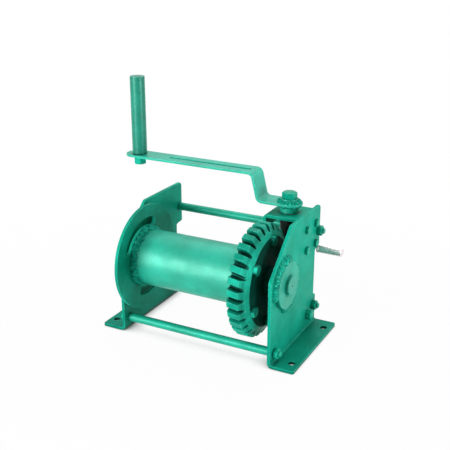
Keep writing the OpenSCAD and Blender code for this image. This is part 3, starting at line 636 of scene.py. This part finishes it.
# Welds round the washer on the arm, and under the arm round the hub
ARM_LOW, ARM_LOW_TOP, ARM_HIGH, ARM_HIGH_TOP = 183.2 * MM, 186.7 * MM, 222.5 * MM, 226.0 * MM
weld(
    "washer_bead", "crank", stand(UP, WORM_X, WORM_Y, ARM_LOW_TOP), "crank_weld",
    radius=12.5, out=4.4, along=4.0, seed=12, pitch=4.0, rough=2.2
)
weld(
    "hub_bead", "crank", stand(UP, WORM_X, WORM_Y, ARM_LOW) @ UPSIDE_DOWN,
    radius=13, out=3.8, along=3.6, seed=21, pitch=3.4, rough=1.8
)

# Centre bolt: a head on the washer and a plain shank into the shaft
WASHER_T = 5.5 * MM
CENTRE_FLATS, CENTRE_HEAD, CENTRE_R, CENTRE_IN = 19, 9, 6, 25
head = stand(UP, WORM_X, WORM_Y, ARM_LOW_TOP + WASHER_T)
shank = [(0, -CENTRE_IN), (CENTRE_R, -CENTRE_IN), (CENTRE_R, 0.2), (0, 0.2)]
bm = bmesh.new()
hexagon(bm, head @ turned(26), CENTRE_FLATS, CENTRE_HEAD)
lathe(bm, head, shank, steps=40)
keep(bm, "crank_screw", bolt_paint, "crank", ("crank_bolt",))

# Spindle of the grip, with a groove for the set screw, and its threaded stud and nut below the arm
SPINDLE_R, SPINDLE_TOP = 7.95, 110.3
GROOVE_R, GROOVE_LOW, GROOVE_HIGH = 6.55, 9.3, 15.3
STUD_R, STUD_PITCH, STUD_DEPTH, STUD_END = 5.0, 1.5, 0.6, 1
SPINDLE_FLATS, SPINDLE_NUT, SPINDLE_BORE = 17, 12.4, 4.8
ARM_T = 3.5
stud = threaded(STUD_R, ARM_T, ARM_T + SPINDLE_NUT + STUD_END, STUD_PITCH, STUD_DEPTH)
profile = [(radius, -z) for radius, z in reversed(stud)] + [
    (STUD_R, 0), (SPINDLE_R, 0), (SPINDLE_R, GROOVE_LOW), (GROOVE_R, GROOVE_LOW),
    (GROOVE_R, GROOVE_HIGH), (SPINDLE_R, GROOVE_HIGH), (SPINDLE_R, SPINDLE_TOP - 1),
    (SPINDLE_R - 1, SPINDLE_TOP), (0, SPINDLE_TOP)
]
bm = bmesh.new()
lathe(bm, stand(UP, GRIP_X, WORM_Y, ARM_HIGH_TOP), profile, steps=48)
keep(bm, "grip_axle", bolt_paint, "crank", ("grip_spindle",))
bm = bmesh.new()
below = stand(UP, GRIP_X, WORM_Y, ARM_HIGH) @ UPSIDE_DOWN
hexagon(bm, below @ turned(-5), SPINDLE_FLATS, SPINDLE_NUT, SPINDLE_BORE)
keep(bm, "grip_hex_nut", bolt_paint, "crank", ("spindle_nut",))

# Grip
softened("grip_sleeve", shaded_grip_paint, 0.6)
softened("grip_cap", shaded_grip_paint, 0.6)
softened("grip_screw", pin_steel, 0.3)


# Lights, each turned to the winch's middle

MIDDLE = Vector((0.0, 0.0, 0.12))
for name, place, size, power in (
    ("front_key", (-0.68, -1.55, 0.42), (0.9, 1.2), 33),
    ("top_back", (-0.15, 0.70, 1.50), (1.4, 1.4), 14),
    ("right_low", (1.70, -0.10, 0.20), (0.6, 0.35), 13),
    ("back_right", (1.1, 1.4, 0.9), (0.8, 0.8), 4),
):
    lamp = bpy.data.lights.new(name, "AREA")
    lamp.shape = "RECTANGLE"
    lamp.size, lamp.size_y = size
    lamp.energy = power
    holder = bpy.data.objects.new(name, lamp)
    holder.location = place
    holder.rotation_euler = (MIDDLE - Vector(place)).to_track_quat("-Z", "Y").to_euler()
    bpy.context.scene.collection.objects.link(holder)


# World and floor

WHITE = (1, 1, 1, 1)
WORLD_FILL, WORLD_SEEN = 0.22, 1.0


def background_rays(tree):
    """1 for camera, glossy and transmission rays, which see the white background."""
    path = tree.nodes.new("ShaderNodeLightPath").outputs
    seen = calculated(tree, "MAXIMUM", path["Is Camera Ray"], path["Is Glossy Ray"])
    return calculated(tree, "MAXIMUM", seen, path["Is Transmission Ray"])


def shared(tree, share, plain, bright, surface):
    """Shows the bright shader in that share, and the plain one in the rest."""
    blend = tree.nodes.new("ShaderNodeMixShader")
    tree.links.new(share, blend.inputs["Fac"])
    tree.links.new(plain, blend.inputs[1])
    tree.links.new(bright, blend.inputs[2])
    tree.links.new(blend.outputs[0], surface)


world = bpy.data.worlds.new("studio")
bpy.context.scene.world = world
world.use_nodes = True
tree = world.node_tree
fill = tree.nodes["Background"]
white = tree.nodes.new("ShaderNodeBackground")
for background, strength in ((fill, WORLD_FILL), (white, WORLD_SEEN)):
    background.inputs["Color"].default_value = WHITE
    background.inputs["Strength"].default_value = strength
surface = tree.nodes["World Output"].inputs["Surface"]
shared(tree, background_rays(tree), fill.outputs[0], white.outputs[0], surface)

# The floor glows white to the rays that see the background: a little less near the winch, and not at all
# in contact with it, so that its plain side shows the shadow
HALF = 8.0
GLOW_AWAY, GLOW_SHARE = (0.25, 0.9), (0.965, 1.0)
CONTACT_REACH, CONTACT_BAND = 25 * MM, (0.25, 0.75)
floor_mesh = bpy.data.meshes.new("floor")
corners = [(-HALF, -HALF, 0), (HALF, -HALF, 0), (HALF, HALF, 0), (-HALF, HALF, 0)]
floor_mesh.from_pydata(corners, [], [(0, 1, 2, 3)])
floor = bpy.data.objects.new("floor", floor_mesh)
floor.location.z = -0.05 * MM
bpy.context.scene.collection.objects.link(floor)
floor_material, tree, cloth, where = start_material("pale_floor")
cloth.inputs["Base Color"].default_value = (0.80, 0.80, 0.80, 1)
cloth.inputs["Roughness"].default_value = 0.9
cloth.inputs["Specular IOR Level"].default_value = 0.0
glow = tree.nodes.new("ShaderNodeEmission")
glow.inputs["Color"].default_value = WHITE
glow.inputs["Strength"].default_value = 1.0
away = mapped(tree, length_of(tree, where), GLOW_AWAY, GLOW_SHARE)
clear = mapped(tree, openness(tree, CONTACT_REACH, samples=8), CONTACT_BAND, (0.0, 1.0))
share = calculated(tree, "MULTIPLY", calculated(tree, "MULTIPLY", away, clear), background_rays(tree))
surface = tree.nodes["Material Output"].inputs["Surface"]
shared(tree, share, cloth.outputs[0], glow.outputs[0], surface)
floor_mesh.materials.append(floor_material)


# Camera, as fitted to the photo: down by TILT and turned by TURN, in radians

LENS, SENSOR = 64.18, 36
TILT, TURN = 0.353, 0.483
camera_data = bpy.data.cameras.new("camera")
camera_data.lens = LENS
camera_data.sensor_width = SENSOR
camera = bpy.data.objects.new("camera", camera_data)
camera.location = (0.4948, -0.9254, 0.5435)
camera.rotation_euler = (math.pi / 2 - TILT, 0, TURN)
bpy.context.scene.collection.objects.link(camera)
bpy.context.scene.camera = camera
bpy.context.scene.view_settings.view_transform = "Standard"
